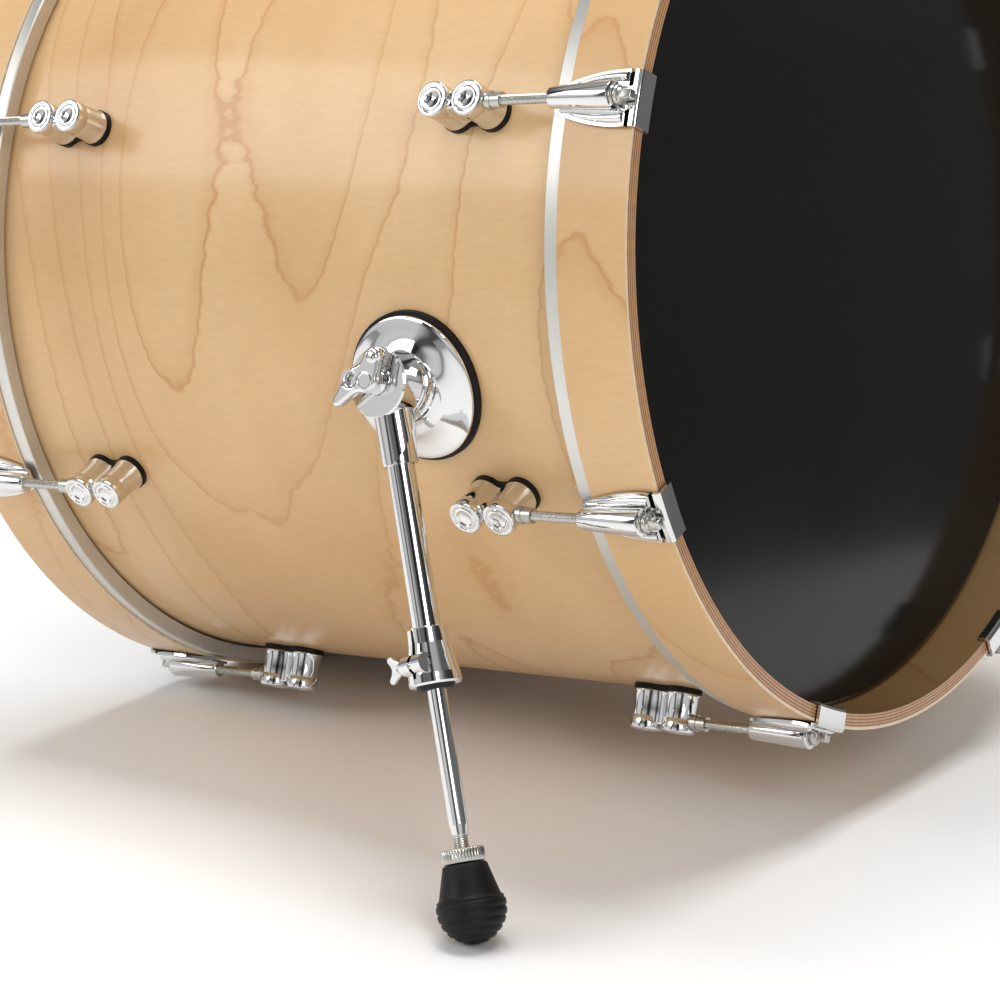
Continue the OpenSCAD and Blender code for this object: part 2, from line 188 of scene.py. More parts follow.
def leg_matrix(side):
    """Millimetres in a leg's frame, +Z down the leg and +Y along the swivel axis, to metres."""
    swing = JOINTS["right_leg_swing"]
    z = Vector(JOINTS["right_leg_slide"]["axis"]).normalized()
    y = Vector(swing["axis"]).normalized()
    x = y.cross(z).normalized()
    m = Matrix.Translation(Vector(swing["pos_m"])) @ Matrix((x, y, z)).transposed().to_4x4() @ MM
    return Matrix.Scale(-1, 4, (0, 1, 0)) @ m if side == "left" else m


def spur_matrix(side):
    """Millimetres in a spur's frame, +Z along the swivel axis from the leg's axis, to metres."""
    lean = math.radians(SPUR_LEAN)
    return leg_matrix(side) @ Matrix.Rotation(-math.pi / 2, 4, "X") @ Matrix.Rotation(-lean, 4, "Z")


# ---- material helpers ----

class Shader:
    """A material with a Principled shader and short calls for the nodes that feed it."""

    def __init__(self, name, **values):
        self.material = bpy.data.materials.new(name)
        self.material.use_nodes = True
        self.nodes = self.material.node_tree.nodes
        self.links = self.material.node_tree.links
        self.shader = self.nodes["Principled BSDF"]
        for key, value in values.items():
            self.shader.inputs[key.replace("_", " ")].default_value = value
        coords = self.nodes.new("ShaderNodeTexCoord")
        self.object_coords = coords.outputs["Object"]

    def join(self, source, target):
        if isinstance(source, (int, float)):
            target.default_value = source
        elif isinstance(source, tuple):
            target.default_value = source if len(source) == len(target.default_value) else (*source, 1)
        else:
            self.links.new(source, target)

    def math(self, operation, a, b=0.0, c=None, clamp=False):
        node = self.nodes.new("ShaderNodeMath")
        node.operation = operation
        node.use_clamp = clamp
        self.join(a, node.inputs[0])
        self.join(b, node.inputs[1])
        if c is not None:
            self.join(c, node.inputs[2])
        return node.outputs[0]

    def vector(self, operation, a, b):
        node = self.nodes.new("ShaderNodeVectorMath")
        node.operation = operation
        self.join(a, node.inputs[0])
        self.join(b, node.inputs[1])
        return node.outputs["Value" if operation in ("DOT_PRODUCT", "LENGTH") else "Vector"]

    def combine(self, x, y, z):
        node = self.nodes.new("ShaderNodeCombineXYZ")
        for i, value in enumerate((x, y, z)):
            self.join(value, node.inputs[i])
        return node.outputs[0]

    def separate(self, vector):
        node = self.nodes.new("ShaderNodeSeparateXYZ")
        self.join(vector, node.inputs[0])
        return node.outputs

    def noise(self, vector, scale, detail=3.0, roughness=0.5, distortion=0.0):
        node = self.nodes.new("ShaderNodeTexNoise")
        self.join(vector, node.inputs["Vector"])
        node.inputs["Scale"].default_value = scale
        node.inputs["Detail"].default_value = detail
        node.inputs["Roughness"].default_value = roughness
        node.inputs["Distortion"].default_value = distortion
        return node.outputs["Fac"]

    def ramp(self, value, stops):
        node = self.nodes.new("ShaderNodeValToRGB")
        self.join(value, node.inputs[0])
        elements = node.color_ramp.elements
        while len(elements) < len(stops):
            elements.new(0.5)
        for element, (place, colour) in zip(elements, stops):
            element.position = place
            grey = isinstance(colour, (int, float))
            element.color = (colour, colour, colour, 1) if grey else (*colour, 1)
        return node.outputs[0]

    def spread(self, value, low, high, to_low=0.0, to_high=1.0):
        node = self.nodes.new("ShaderNodeMapRange")
        self.join(value, node.inputs[0])
        for i, number in enumerate((low, high, to_low, to_high)):
            node.inputs[i + 1].default_value = number
        return node.outputs[0]

    def mix(self, amount, a, b, blend="MIX"):
        node = self.nodes.new("ShaderNodeMix")
        node.data_type = "RGBA"
        node.blend_type = blend
        self.join(amount, node.inputs["Factor"])
        self.join(a, node.inputs["A"])
        self.join(b, node.inputs["B"])
        return node.outputs["Result"]

    def bump(self, height, strength, distance=0.001, normal=None):
        node = self.nodes.new("ShaderNodeBump")
        self.join(height, node.inputs["Height"])
        node.inputs["Strength"].default_value = strength
        node.inputs["Distance"].default_value = distance
        if normal is not None:
            self.links.new(normal, node.inputs["Normal"])
        return node.outputs[0]

    def set(self, **sources):
        for key, source in sources.items():
            self.join(source, self.shader.inputs[key.replace("_", " ")])
        return self.material

    def drum_coords(self):
        """Object coordinates turned into the drum's frame, in metres."""
        shift = self.vector("SUBTRACT", self.object_coords, tuple(CENTRE))
        node = self.nodes.new("ShaderNodeVectorRotate")
        node.rotation_type = "Y_AXIS"
        self.join(shift, node.inputs["Vector"])
        node.inputs["Angle"].default_value = TILT
        return node.outputs[0]


def wood(name, seed, edge=False):
    """Lacquered maple veneer with its grain round the drum; edge adds the hoop's ply layers, a painted
    highlight along its outer edge and painted shade on its inner wall.
    """
    s = Shader(name, Roughness=0.45, Specular_IOR_Level=0.3, Coat_Weight=0.5,
               Coat_Roughness=0.15, Coat_IOR=1.5)
    at = s.drum_coords()
    x, y, z = s.separate(at)[0:3]
    radius = s.vector("LENGTH", s.combine(0.0, y, z), (0.0, 0.0, 0.0))
    around = s.math("MULTIPLY", s.math("ARCTAN2", y, s.math("MULTIPLY", z, -1.0)), SHELL_R / 1000)
    flat = s.combine(x, around, float(seed))
    # growth lines: contours of a smooth field, long round the drum
    field = s.noise(s.vector("MULTIPLY", flat, (4.0, 1.05, 1.0)), 1.0, 1.7, 0.45)
    jag = s.noise(s.vector("MULTIPLY", flat, (50.0, 110.0, 1.0)), 1.0, 2.0)
    figure = s.math("ADD", s.math("MULTIPLY", field, 19.0), s.math("MULTIPLY", jag, 0.13))
    ring = s.math("FRACT", figure)
    line = s.ramp(ring, [(0.0, 0.5), (0.03, 0.0), (0.8, 0.0), (0.955, 0.34), (0.985, 1.0)])
    # which lines are strong changes slowly
    strength = s.spread(s.noise(flat, 5.0, 2.0), 0.3, 0.7, 0.35, 0.95)
    lines = s.math("MULTIPLY", line, strength)
    tone = s.noise(s.vector("MULTIPLY", flat, (4.0, 2.2, 1.0)), 1.0, 4.0, 0.55)
    fibre = s.noise(s.vector("MULTIPLY", flat, (900.0, 60.0, 1.0)), 1.0, 3.0, 0.6)
    fleck = s.noise(s.vector("MULTIPLY", flat, (70.0, 420.0, 1.0)), 1.0, 3.0, 0.6)
    colour = s.ramp(tone, [
        (0.25, (0.58, 0.335, 0.145)), (0.5, (0.67, 0.425, 0.20)), (0.75, (0.75, 0.52, 0.28))])
    grain = s.math("ADD", s.spread(fibre, 0.2, 0.8, 0.975, 1.02), s.spread(fleck, 0.3, 0.7, -0.04, 0.04))
    colour = s.mix(1.0, colour, s.combine(grain, grain, grain), "MULTIPLY")
    colour = s.mix(s.math("MULTIPLY", lines, 0.85), colour, (0.50, 0.235, 0.07))
    height = s.math("ADD", s.math("MULTIPLY", fibre, 0.5), s.math("MULTIPLY", fleck, 0.5))
    if edge:
        geometry = s.nodes.new("ShaderNodeNewGeometry")
        axis = (math.cos(TILT), 0.0, math.sin(TILT))
        facing = s.math("ABSOLUTE", s.vector("DOT_PRODUCT", geometry.outputs["Normal"], axis))
        depth = s.spread(radius, HOOP_IN / 1000, HOOP_R / 1000)
        wobble = s.math("MULTIPLY", s.noise(flat, 25.0, 2.0), 0.025)
        dark, orange, pale = (0.10, 0.036, 0.016), (0.46, 0.21, 0.085), (0.62, 0.38, 0.19)
        # The last two stops are a painted highlight: pale colour along the hoop's outer edge that stands
        # in for the light its rounded edge catches.
        plies_and_edge_highlight = [(0.0, orange), (0.10, pale), (0.13, dark), (0.18, orange), (0.30, pale), (0.33, dark),
                 (0.39, orange),
                 (0.50, pale), (0.53, dark), (0.60, orange), (0.70, pale), (0.73, dark), (0.79, orange),
                 (0.86, (0.78, 0.60, 0.40)), (1.0, (0.86, 0.72, 0.54))]
        ply_and_edge_highlight = s.ramp(s.math("ADD", depth, wobble), plies_and_edge_highlight)
        streak = s.spread(s.noise(s.vector("MULTIPLY", flat, (1.0, 55.0, 1.0)), 4.0, 3.0),
                          0.3, 0.7, 0.88, 1.08)
        ply_and_edge_highlight = s.mix(1.0, ply_and_edge_highlight, s.combine(streak, streak, streak), "MULTIPLY")
        # Painted shade: the hoop's inner wall is multiplied to a dark olive brown that stands in for the
        # shade it lies in.
        inner = s.spread(radius, (HOOP_IN + 0.1) / 1000, (HOOP_IN + 0.4) / 1000, 1.0, 0.0)
        colour = s.mix(inner, colour, s.mix(1.0, colour, (0.34, 0.31, 0.25), "MULTIPLY"))
        colour = s.mix(s.spread(facing, 0.6, 0.8), colour, ply_and_edge_highlight)
    rough = s.spread(s.noise(flat, 30.0, 3.0), 0.2, 0.8, 0.36, 0.48)
    coat = s.spread(s.noise(flat, 9.0, 3.0), 0.3, 0.7, 0.12, 0.19)
    normal = s.bump(height, 0.05, 0.0003)
    wave = s.bump(s.noise(flat, 14.0, 2.0), 0.04, 0.002)
    s.set(Base_Color=colour, Roughness=rough, Coat_Roughness=coat, Normal=normal, Coat_Normal=wave)
    return s.material


def metal(name, colour, low, high, scale, bump=0.02, stretch=(1.0, 1.0, 1.0), tone=0.06):
    """Metal whose roughness, tone and surface change a little at the given scale."""
    s = Shader(name, Metallic=1.0)
    at = s.vector("MULTIPLY", s.drum_coords(), stretch)
    fine = s.noise(at, scale, 4.0, 0.55)
    broad = s.noise(s.object_coords, scale / 7, 3.0)
    dark = tuple(c * (1 - tone) for c in colour)
    s.set(Base_Color=s.mix(broad, colour, dark), Roughness=s.spread(fine, 0.25, 0.75, low, high),
          Normal=s.bump(fine, bump, 0.0002))
    return s.material


def brushed_hoop(name):
    """Aluminium drawn round the drum."""
    s = Shader(name, Metallic=1.0, Anisotropic=0.5)
    x, y, z = s.separate(s.drum_coords())[0:3]
    radius = s.vector("LENGTH", s.combine(0.0, y, z), (0.0, 0.0, 0.0))
    around = s.math("ARCTAN2", y, z)
    at = s.combine(s.math("MULTIPLY", x, 1600.0), s.math("MULTIPLY", radius, 1600.0),
                   s.math("MULTIPLY", around, 6.0))
    lines = s.noise(at, 1.0, 3.0, 0.6)
    blotch = s.noise(s.object_coords, 12.0, 3.0)
    colour = s.mix(blotch, (0.74, 0.735, 0.70), (0.64, 0.63, 0.595))
    s.set(Base_Color=colour, Roughness=s.spread(lines, 0.25, 0.75, 0.38, 0.52),
          Normal=s.bump(lines, 0.08, 0.0002))
    return s.material


def rubber(name, colour=(0.0052, 0.0052, 0.005)):
    s = Shader(name, Specular_IOR_Level=0.22)
    grain = s.noise(s.object_coords, 900.0, 3.0, 0.6)
    wear = s.noise(s.object_coords, 45.0, 4.0, 0.6)
    tint = s.mix(s.spread(wear, 0.45, 0.8), colour, tuple(c * 2.0 + 0.001 for c in colour))
    s.set(Base_Color=tint, Roughness=s.spread(wear, 0.2, 0.8, 0.38, 0.62),
          Normal=s.bump(grain, 0.12, 0.0003))
    return s.material


def black_film(name):
    """Smooth gloss film with faint mottling in its sheen."""
    s = Shader(name, Specular_IOR_Level=0.28)
    at = s.drum_coords()
    haze = s.noise(at, 6.0, 4.0, 0.6)
    fine = s.noise(at, 260.0, 2.0)
    tint = s.mix(haze, (0.0042, 0.0044, 0.0038), (0.0072, 0.0074, 0.0062))
    s.set(Base_Color=tint, Roughness=s.spread(haze, 0.25, 0.75, 0.13, 0.21),
          Normal=s.bump(fine, 0.02, 0.0002))
    return s.material


def coated_film(name):
    """White film sprayed with a sandy matt coating."""
    s = Shader(name, Specular_IOR_Level=0.4)
    at = s.drum_coords()
    sand = s.noise(at, 1500.0, 2.0, 0.7)
    cloud = s.noise(at, 8.0, 4.0, 0.6)
    tint = s.mix(cloud, (0.86, 0.86, 0.83), (0.78, 0.78, 0.755))
    s.set(Base_Color=tint, Roughness=s.spread(sand, 0.3, 0.7, 0.55, 0.75),
          Normal=s.bump(sand, 0.35, 0.0003))
    return s.material


CHROME = metal("chrome", (0.76, 0.765, 0.76), 0.03, 0.065, 90.0, 0.01)
ZINC = metal("zinc", (0.62, 0.61, 0.57), 0.22, 0.36, 320.0, 0.05, tone=0.2)
STEEL = metal("steel", (0.56, 0.56, 0.55), 0.25, 0.45, 240.0, 0.05, tone=0.15)
BRASS = metal("brass", (0.80, 0.60, 0.28), 0.10, 0.22, 200.0, 0.03, tone=0.12)
MAPLE = wood("maple", 3)
HOOP_MAPLE = wood("hoop_maple", 11, edge=True)
ALUMINIUM = brushed_hoop("aluminium")
RUBBER = rubber("rubber")
NYLON = rubber("black_nylon", (0.011, 0.011, 0.011))
BLACK_FILM = black_film("black_film")
WHITE_FILM = coated_film("white_film")


def dress(node, material, bevel=0.0):
    """Gives a CAD node its material and, where it helps, softer edges."""
    obj = frame["nodes"][node]
    obj.data.materials.clear()
    obj.data.materials.append(material)
    if bevel:
        soften(obj, bevel)


for node, material, bevel in (
        ("shell", MAPLE, 0), ("air_vent", BRASS, 0.2), ("lug_gaskets", RUBBER, 0),
        ("lug_screws", STEEL, 0),
        ("rod_receivers", ZINC, 0), ("claw_pads", RUBBER, 0), ("rod_washers", ZINC, 0),
        ("spur_screws", STEEL, 0),
        ("front_head", BLACK_FILM, 0), ("batter_head", WHITE_FILM, 0),
        ("front_flesh_hoop", ALUMINIUM, 0), ("batter_flesh_hoop", ALUMINIUM, 0),
        ("front_hoop", HOOP_MAPLE, 0.9), ("batter_hoop", HOOP_MAPLE, 0.9)):
    dress(node, material, bevel)
for side in SIDES:
    dress(f"{side}_spur_gasket", RUBBER)
    dress(f"{side}_spur_leg_socket", CHROME)
    dress(f"{side}_spur_outer_tube", CHROME)
    dress(f"{side}_spur_clamp", CHROME)
    dress(f"{side}_spur_bushing", NYLON)


# ---- lugs ----

def blend_distance(x, y, grow):
    """Distance outside a lug's plan: two posts and the waist between them, blended."""
    posts = [math.hypot(x - s * POST_PITCH / 2, y) - POST_R - grow for s in (-1, 1)]
    dx, dy = abs(x) - POST_PITCH / 2, abs(y) - 5.2 - grow
    waist = math.hypot(max(dx, 0), max(dy, 0)) + min(max(dx, dy), 0)
    k = 0.75
    return -math.log(sum(math.exp(-k * d) for d in (*posts, waist))) / k


def lug_outline(grow, n=96):
    points = []
    for i in range(n):
        a = 2 * math.pi * i / n
        low, high = 0.0, 40.0
        for _ in range(30):
            mid = (low + high) / 2
            if blend_distance(mid * math.cos(a), mid * math.sin(a), grow) < 0:
                low = mid
            else:
                high = mid
        points.append((low * math.cos(a), low * math.sin(a)))
    return points


def lug_parts():
    base, top = SHELL_R + GASKET, SHELL_R + LUG_TOP
    rings = []
    for height, grow in ((0, 0.1), (0.5, 0.45), (1.2, 0.5), (2.2, 0.25), (4.5, -0.15), (12, -0.45),
                         (19.6, -0.6),
                         (20.8, -0.9), (21.4, -1.6)):
        rings.append([(x, y, base + height) for x, y in lug_outline(grow)])
    parts = [loft(rings)]
    for s in (-1, 1):
        profile = [(top - 9, 9.4), (top - 8, POST_R - 0.15), (top - 1.3, POST_R),
                   (top - 0.5, POST_R - 0.25),
                   (top - 0.08, POST_R - 0.8), (top, POST_R - 1.3), (top, 8.3), (top - 0.12, 8.0),
                   (top - 0.6, 7.75), (top - 0.65, 7.3), (top - 0.3, 7.0), (top - 0.12, 6.7),
                   (top - 0.12, 5.3),
                   (top - 0.4, 5.0), (top - 0.9, 4.7), (top - 1.15, 4.2), (top - 1.7, 0.0)]
        verts, faces = lathe(profile, 64)
        parts.append(([(x + s * POST_PITCH / 2, y, z) for x, y, z in verts], faces))
    # small block that fills the slot between the posts
    block = [[(x, y, z) for x, y in ((-1.3, -3.4), (1.3, -3.4), (1.3, 3.4), (-1.3, 3.4))]
             for z in (top - 8, top - 3.6)]
    parts.append(loft(block))
    return parts


def place_all(parts, end, along=0.0):
    placed = []
    for k in range(1, LUGS + 1):
        m = end_matrix(end, lug_angle(k)) @ Matrix.Translation((along, 0, 0))
        placed += [(verts, faces, m) for verts, faces in parts]
    return placed


LUG = lug_parts()
for end in ENDS:
    build(f"{end}_lug_set", place_all(LUG, end, LUG_X), "drum", CHROME, f"{end}_lugs")


# ---- claws ----

def claw_half_width(x):
    """Half width of a claw at x, from its nose to its full width near the rim."""
    t = min(max((x - (RIM - CLAW_LENGTH)) / (CLAW_LENGTH - 8), 0), 1)
    return 6.2 + (15.7 - 6.2) * math.sin(t * math.pi / 2) ** 0.8


def sheet(path, half_widths, thickness, columns=14):
    """A bent plate: path of (x, radius) on its outer face, following the hoop's curve across."""
    outer, inner = [], []
    for i, (x, r) in enumerate(path):
        a, b = path[max(i - 1, 0)], path[min(i + 1, len(path) - 1)]
        tx, tr = b[0] - a[0], b[1] - a[1]
        length = math.hypot(tx, tr)
        nx, nr = tr / length * thickness, -tx / length * thickness
        rows = [[], []]
        for j in range(columns + 1):
            y = half_widths[i] * (2 * j / columns - 1)
            for row, px, pr in ((rows[0], x, r), (rows[1], x + nx, r + nr)):
                row.append((px, y, pr * math.cos(math.asin(y / HOOP_R))))
        outer.append(rows[0])
        inner.append(rows[1])
    rings = [o + i[::-1] for o, i in zip(outer, inner)]
    return loft(rings)


def claw_parts():
    nose, wing_end = RIM - CLAW_LENGTH, RIM - 3.6
    xs = [nose + (wing_end - nose) * i / 22 for i in range(23)]
    wings = [(x, CLAW_OUT + 0.9 * max(0, (x - RIM + 14) / 10) ** 2) for x in xs]
    parts = [sheet(wings, [claw_half_width(x) for x in xs], 1.9)]
    # hook: over the hoop's front edge, down its face and under its inner edge
    hook = [(RIM - 1.4, CLAW_OUT), (RIM + 0.6, CLAW_OUT)]
    hook += arc(HOOK_FRONT - 2.4, CLAW_OUT - 2.4, 2.4, 90, 0, 6)
    hook += [(HOOK_FRONT, 290.0), (HOOK_FRONT, 286.0)]
    hook += arc(HOOK_FRONT - 2.6, HOOP_IN + 0.2, 2.6, 0, -90, 6)
    hook += [(RIM + 0.4, HOOP_IN - 2.4), (RIM - 4.2, HOOP_IN - 2.4)]
    parts.append(sheet(hook, [15.6] * len(hook), 2.0, 18))
    # neck that joins the hook to the wings under the rod's head
    neck = [(RIM - 8, CLAW_OUT - 0.3), (RIM, CLAW_OUT - 0.3)]
    parts.append(sheet(neck, [6.5, 6.5], 1.6, 6))
    # rod tube, rounded at both ends, with a mouth for the rod
    n = 40
    rings = []
    for x, r in ((nose - 0.2, 3.2), (nose - 0.2, 5.2), (nose + 0.5, 5.9), (nose + 1.4, 6.3),
                 (TUBE_FRONT - 1.2, 8.0),
                 (TUBE_FRONT - 0.4, 7.8), (TUBE_FRONT, 7.2), (TUBE_FRONT, 3.2)):
        rings.append([(x, r * math.cos(2 * math.pi * j / n),
                       max(ROD_R + r * math.sin(2 * math.pi * j / n), CLAW_IN + 0.1))
                      for j in range(n)])
    parts.append(loft(rings))
    # raised ridge along each wing
    for s in (-1, 1):
        rings = []
        for i in range(17):
            t = i / 16
            x = nose + 9 + (wing_end - nose - 10) * t
            tall = 3.6 * math.sin(t * math.pi / 2) ** 0.7 + 0.15
            wide = 1.2 + 1.7 * t
            y0 = s * (claw_half_width(x) - 1.6 - wide)
            rings.append([(x, y0 + wide * math.cos(math.pi * j / 12),
                           CLAW_OUT - 0.6 + tall * math.sin(math.pi * j / 12))
                          for j in range(13)])
        parts.append(loft(rings))
    return parts


CLAW = claw_parts()
for end in ENDS:
    build(f"{end}_claw_set", place_all(CLAW, end), "drum", CHROME, f"{end}_claws", bevel=0.35)


# ---- tension rods ----

def thread(start, end, radius, pitch, depth, around=20, per_turn=5):
    """A right-hand screw thread along +Z."""
    rings = []
    steps = max(int((end - start) / pitch * per_turn), 2)
    for i in range(steps + 1):
        z = start + (end - start) * i / steps
        fade = min(1, (z - start) / pitch, (end - z) / pitch)
        ring = []
        for j in range(around):
            a = 2 * math.pi * j / around
            t = (z / pitch - j / around) % 1
            r = radius - depth * fade * abs(2 * t - 1)
            ring.append((r * math.cos(a), r * math.sin(a), z))
        rings.append(ring)
    return loft(rings)


def turned_to_x(parts):
    return [([(z, x, y) for x, y, z in verts], faces) for verts, faces in parts]


def rod_parts():
    seat = TUBE_FRONT + 1.25
    threaded = thread(LUG_X + 8, RIM - CLAW_LENGTH + 2, 3.0, 1.06, 0.42)
    shank = lathe([(RIM - CLAW_LENGTH + 1.8, 2.9), (seat, 2.9)], 24)
    collar = lathe([(seat, 4.4), (seat, 5.0), (seat + 0.3, 5.3), (seat + 2.0, 5.3), (seat + 2.4, 4.9),
                    (seat + 2.5, 4.2), (seat + 3.0, 3.9), (seat + 3.8, 3.6), (seat + 3.9, 2.0)], 40)
    rings = []
    for z, half in ((3.0, 2.75), (9.4, 2.75), (10.1, 2.45), (10.4, 1.6)):
        corner = half * 0.28
        ring = []
        for q in range(4):
            for cx, cy in arc(half - corner, half - corner, corner, 0, 90, 3):
                turn = math.radians(90 * q)
                ring.append((cx * math.cos(turn) - cy * math.sin(turn),
                             cx * math.sin(turn) + cy * math.cos(turn),
                             seat + z))
        rings.append(ring)
    return turned_to_x([threaded, shank, collar, loft(rings)])


ROD = rod_parts()
for end in ENDS:
    for k in range(1, LUGS + 1):
        m = end_matrix(end, lug_angle(k)) @ Matrix.Translation((0, 0, ROD_R))
        build(f"{end}_rod_{k}", [(v, f, m) for v, f in ROD], f"{end}_rod_{k}", ZINC,
              f"{end}_tension_rod_{k}", sharp=50)


# ---- spurs ----

# the foot's round end is as far below its centre as it is wide, and it meets the floor
LEG_DOWN = -Vector(JOINTS["right_leg_slide"]["axis"]).z
FOOT_AT = (JOINTS["right_leg_swing"]["pos_m"][2] * 1000 - FOOT_R) / LEG_DOWN
NUT_AT = FOOT_AT - FOOT_HEIGHT - PART_GAP - NUT_THICK


def plate(name, outline, hole, thickness, edge):
    """A flat plate with round edges, from a closed outline and a round hole."""
    curve = bpy.data.curves.new(name, "CURVE")
    curve.dimensions = "2D"
    curve.fill_mode = "BOTH"
    curve.extrude = thickness / 2 - edge
    curve.bevel_depth = edge
    curve.bevel_resolution = 3
    curve.offset = -edge
    for points in (outline, hole):
        if not points:
            continue
        spline = curve.splines.new("BEZIER")
        spline.bezier_points.add(len(points) - 1)
        for point, (x, y) in zip(spline.bezier_points, points):
            point.co = (x, y, 0)
            point.handle_left_type = point.handle_right_type = "AUTO"
        spline.use_cyclic_u = True
        spline.resolution_u = 8
    obj = bpy.data.objects.new(name, curve)
    mesh = bpy.data.meshes.new_from_object(obj)
    verts = [tuple(v.co) for v in mesh.vertices]
    faces = [list(p.vertices) for p in mesh.polygons]
    bpy.data.objects.remove(obj)
    bpy.data.meshes.remove(mesh)
    return verts, faces


LEVER_OUTLINE = [(-22.5, -13.8), (-18.9, -3.6), (-15.8, 3.9), (-11.5, 7.2), (-5.4, 10.3), (-1.6, 16.4),
                 (4.4, 19.4),
                 (9.2, 16.6), (8.6, 10.8), (7.6, 4.5), (6.2, -3.3), (0, -6.4), (-6.8, -7), (-13, -10.9),
                 (-19.5, -14.8)]
WING = plate("lever_outline", LEVER_OUTLINE, arc(-11, 0.6, 3.6, 0, 330, 7), LEVER_THICK, 2.2)
CLAMP_WING = plate("clamp_wing_outline", [(-1, -3.2), (-1, 3.2), (-5, 6.2), (-8, 7.8), (-9.8, 6),
                                          (-7.6, 2), (-7, 0),
                                          (-7.6, -2), (-9.8, -6), (-8, -7.8), (-5, -6.2)], [], 2.8, 1.0)


def nut_wave(a, h):
    return -0.4 * abs(math.sin(NUT_TEETH * a / 2))


def foot_profile(centre):
    """Tapered rubber body with a lip and a ribbed round end; heights along the leg."""
    top = centre - FOOT_HEIGHT
    points = [(top + 3, 5), (top, 5.2), (top, 11.2), (top + 0.25, 11.9), (top + 0.9, 12.5),
              (top + 3, 13.0),
              (top + 10, 14.9), (top + 17.6, 17.0), (top + 18.4, 17.4), (top + 18.9, 18.2),
              (top + 19.5, 18.7)]
    ribs = 6
    for i in range(ribs):
        a0 = math.radians(-12 + 15.5 * i)
        a1 = math.radians(-12 + 15.5 * (i + 1))
        for t, cut in ((0.08, 0.75), (0.2, 0.1), (0.5, 0.0), (0.82, 0.1), (0.95, 0.75)):
            a = a0 + (a1 - a0) * t
            r = FOOT_R - cut
            points.append((centre + r * math.sin(a), r * math.cos(a)))
    points += [(centre + FOOT_R - 0.2, 3.6), (centre + FOOT_R - 0.2, 0.0)]
    return points


def spur_base(side):
    """Curved disc that lies on the shell's gasket, and a stepped hub along the swivel axis."""
    mirror = Matrix.Scale(-1 if side == "left" else 1, 4, (0, 1, 0))
    pivot = DRUM.inverted() @ Vector(JOINTS["right_leg_swing"]["pos_m"])
    place = (mirror @ DRUM @ Matrix.Translation((pivot.x, 0, 0))
             @ Matrix.Rotation(math.radians(180 - SPUR_AROUND), 4, "X") @ MM)
    rings = []
    for rho, thick in ((42.3, 0.02), (42.5, 0.5), (42.5, 2.2), (42.2, 2.9), (41.4, 3.3), (39.6, 3.7),
                       (36, 4.3),
                       (32, 5.2), (28.5, 6.6), (25, 8.5)):
        ring = []
        for j in range(120):
            a = 2 * math.pi * j / 120
            y = rho * math.sin(a)
            ring.append((rho * math.cos(a), y, math.sqrt((SPUR_GASKET_TOP + thick) ** 2 - y * y)))
        rings.append(ring)
    disc = loft(rings)
    hub = lathe([(-24, 24.0), (-21.5, 28.6), (-19.5, 27.0), (-17.6, 25.2), (-16.2, 24.1), (-15.0, 23.6),
                 (-14.6, 23.2),
                 (-14.4, 22.0), (-13.8, 21.4), (-12.4, 20.8), (-10.6, 20.5), (-9.6, 20.5), (-9.3, 20.2),
                 (-9.2, 19.2),
                 (-8.4, 18.8), (-7.8, 18.9), (-7.4, 19.4), (-7.1, 19.4), (-7.0, 18.9), (-7.0, 0.0)], 96)
    build(f"{side}_base_disc", [(*disc, place), (*hub, spur_matrix(side))], "drum", CHROME,
          f"{side}_spur_base", sharp=28)


def wing_screw(side, swivel):
    """Screw through the knuckle, with a flat holed lever."""
    face = KNUCKLE_TOP - LEG_HEIGHT
    boss = lathe([(face - 2.9, 7.2), (face + 0.6, 7.2), (face + 1.2, 6.8), (face + 2.4, 6.0),
                  (face + 5, 5.6)], 40)
    shaft = lathe([(-LEG_HEIGHT + 8, 4.0), (face - 2, 4.0)], 24)
    lever = swivel @ Matrix.Translation((0, 0, LEVER_MIDDLE - LEG_HEIGHT))
    bump = lathe([(-3, 4.4), (2.4, 4.4), (4.0, 3.6), (4.6, 2.4), (4.8, 0)], 32)
    bump_place = lever @ Matrix.Translation((4.2, 13.6, 0))
    dish = lathe([(3.2, 5.4), (3.9, 5.2), (4.1, 4.6), (3.7, 4.2), (3.3, 3.6), (3.2, 0)], 40)
    build(f"{side}_wing_lever",
          [(*boss, swivel), (*shaft, swivel), (*WING, lever), (*bump, bump_place), (*dish, lever)],
          f"{side}_wing", CHROME, f"{side}_spur_wing_screw", sharp=50)


def clamp_screw(side, leg):
    """Small wing screw across the clamp's slot."""
    turn = Matrix.Rotation(math.radians(CLAMP_TURN), 4, "Z")
    screw = Matrix.Translation((CLAMP_SCREW_OUT, 0, CLAMP_SCREW_DOWN))
    place = leg @ turn @ screw @ Matrix.Rotation(-math.pi / 2, 4, "X")
    stem = thread(-8.2, 9.8, 2.5, 0.8, 0.3)
    cone = lathe([(8.8, 4.6), (9.2, 4.6), (12.6, 3.6), (13.2, 2.4), (13.4, 0)], 32)
    wing = place @ Matrix.Translation((0, 0, 12.2)) @ Matrix.Rotation(math.pi / 2, 4, "Y")
    build(f"{side}_clamp_wing", [(*stem, place), (*cone, place), (*CLAMP_WING, wing)],
          f"{side}_clamp_screw", CHROME, f"{side}_spur_clamp_screw", sharp=50)


def inner_rod(side, leg):
    """Rod that slides in the leg's tube, and the threaded stud at its end."""
    rod = lathe([(90, 5.0), (90.5, 5.5), (248.6, 5.5), (249.4, 5.35), (254.4, 4.5), (254.8, 4.1)], 48)
    stud = thread(254.6, FOOT_AT - 6, 4.33, 1.25, 0.55, 28, 6)
    build(f"{side}_leg_rod", [(*rod, leg)], f"{side}_rod", CHROME, f"{side}_spur_inner_rod")
    build(f"{side}_leg_stud", [(*stud, leg)], f"{side}_rod", ZINC, None, sharp=60)


